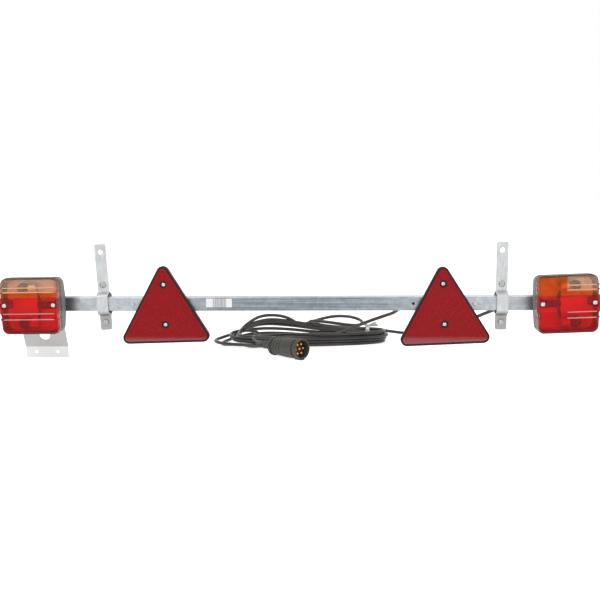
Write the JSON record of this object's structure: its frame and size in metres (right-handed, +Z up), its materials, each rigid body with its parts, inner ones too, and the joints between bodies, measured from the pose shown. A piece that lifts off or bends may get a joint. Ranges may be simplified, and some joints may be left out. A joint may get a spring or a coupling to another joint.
{
  "type": "trailer lighting board",
  "caption": "Galvanised bar with a two-colour lamp at each end, triangular reflectors, hanging straps, a number plate bracket and a tied lead with its plug.",
  "frame": {"origin": "midway between the two strap holes, on the straps' back faces", "axes": "+X along the bar to the right as seen from behind the trailer, -Y towards that viewer, +Z up"},
  "size_m": [1.0393, 0.2866, 0.2111],
  "materials": {
    "galvanised": "galvanised square tube, dull grey-blue",
    "black_plastic": "black moulded inserts",
    "rivet_aluminium": "bare aluminium blind rivets",
    "zinc_plate": "bright zinc plated sheet",
    "zinc_bolt": "bright zinc plated screws, bolts and nuts",
    "lamp_base": "grey moulded base",
    "rubber": "black moulded rubber",
    "amber_lens": "amber transparent acrylic",
    "red_lens": "red transparent acrylic",
    "reflector_tin": "bright pressed sheet",
    "lead_sheath": "black soft sheath",
    "bulb_glass": "clear bulb glass",
    "brass": "turned brass",
    "reflector_tray": "black moulded tray",
    "reflector_red": "red acrylic with a moulded prism field",
    "tie": "black wire-cored tie",
    "plug_plastic": "dark grey moulded plastic",
    "pin_carrier": "dark brown moulded carrier"
  },
  "bodies": {
    "root": {"crossbar": "galvanised", "bar_end_caps": "black_plastic", "bar_rivets": "rivet_aluminium", "left_strap_strip": "zinc_plate", "right_strap_strip": "zinc_plate", "left_strap_saddle": "zinc_plate", "right_strap_saddle": "zinc_plate", "clamp_bolts": "zinc_bolt", "clamp_nuts": "zinc_bolt", "left_lamp_base": "lamp_base", "right_lamp_base": "lamp_base", "left_lamp_seal": "rubber", "right_lamp_seal": "rubber", "left_amber_lens": "amber_lens", "right_amber_lens": "amber_lens", "left_red_lens": "red_lens", "right_red_lens": "red_lens", "left_bulb_plate": "reflector_tin", "right_bulb_plate": "reflector_tin", "left_feed_grommet": "rubber", "right_feed_grommet": "rubber", "left_feed_lead": "lead_sheath", "right_feed_lead": "lead_sheath", "left_indicator_bulb_glass": "bulb_glass", "right_indicator_bulb_glass": "bulb_glass", "left_stop_tail_bulb_glass": "bulb_glass", "right_stop_tail_bulb_glass": "bulb_glass", "left_indicator_bulb_cap": "brass", "right_indicator_bulb_cap": "brass", "left_stop_tail_bulb_cap": "brass", "right_stop_tail_bulb_cap": "brass", "left_indicator_holder": "reflector_tin", "right_indicator_holder": "reflector_tin", "left_stop_tail_holder": "reflector_tin", "right_stop_tail_holder": "reflector_tin", "lens_screws": "zinc_bolt", "lamp_bolts": "zinc_bolt", "lamp_nuts": "zinc_bolt", "number_plate_bracket": "zinc_plate", "left_reflector_tray": "reflector_tray", "right_reflector_tray": "reflector_tray", "left_reflector_prism": "reflector_red", "right_reflector_prism": "reflector_red", "left_reflector_clip": "zinc_plate", "right_reflector_clip": "zinc_plate", "reflector_screws": "zinc_bolt", "reflector_nuts": "zinc_bolt", "lead_grommets": "rubber", "left_lead": "lead_sheath", "right_lead": "lead_sheath", "lead_hank": "lead_sheath", "hank_tie": "tie", "plug_shell": "plug_plastic", "plug_rear_cover": "plug_plastic", "plug_pin_carrier": "pin_carrier", "plug_pins": "brass", "plug_tail": "plug_plastic", "left_plug_lead": "lead_sheath", "right_plug_lead": "lead_sheath"}
  },
  "joints": []
}
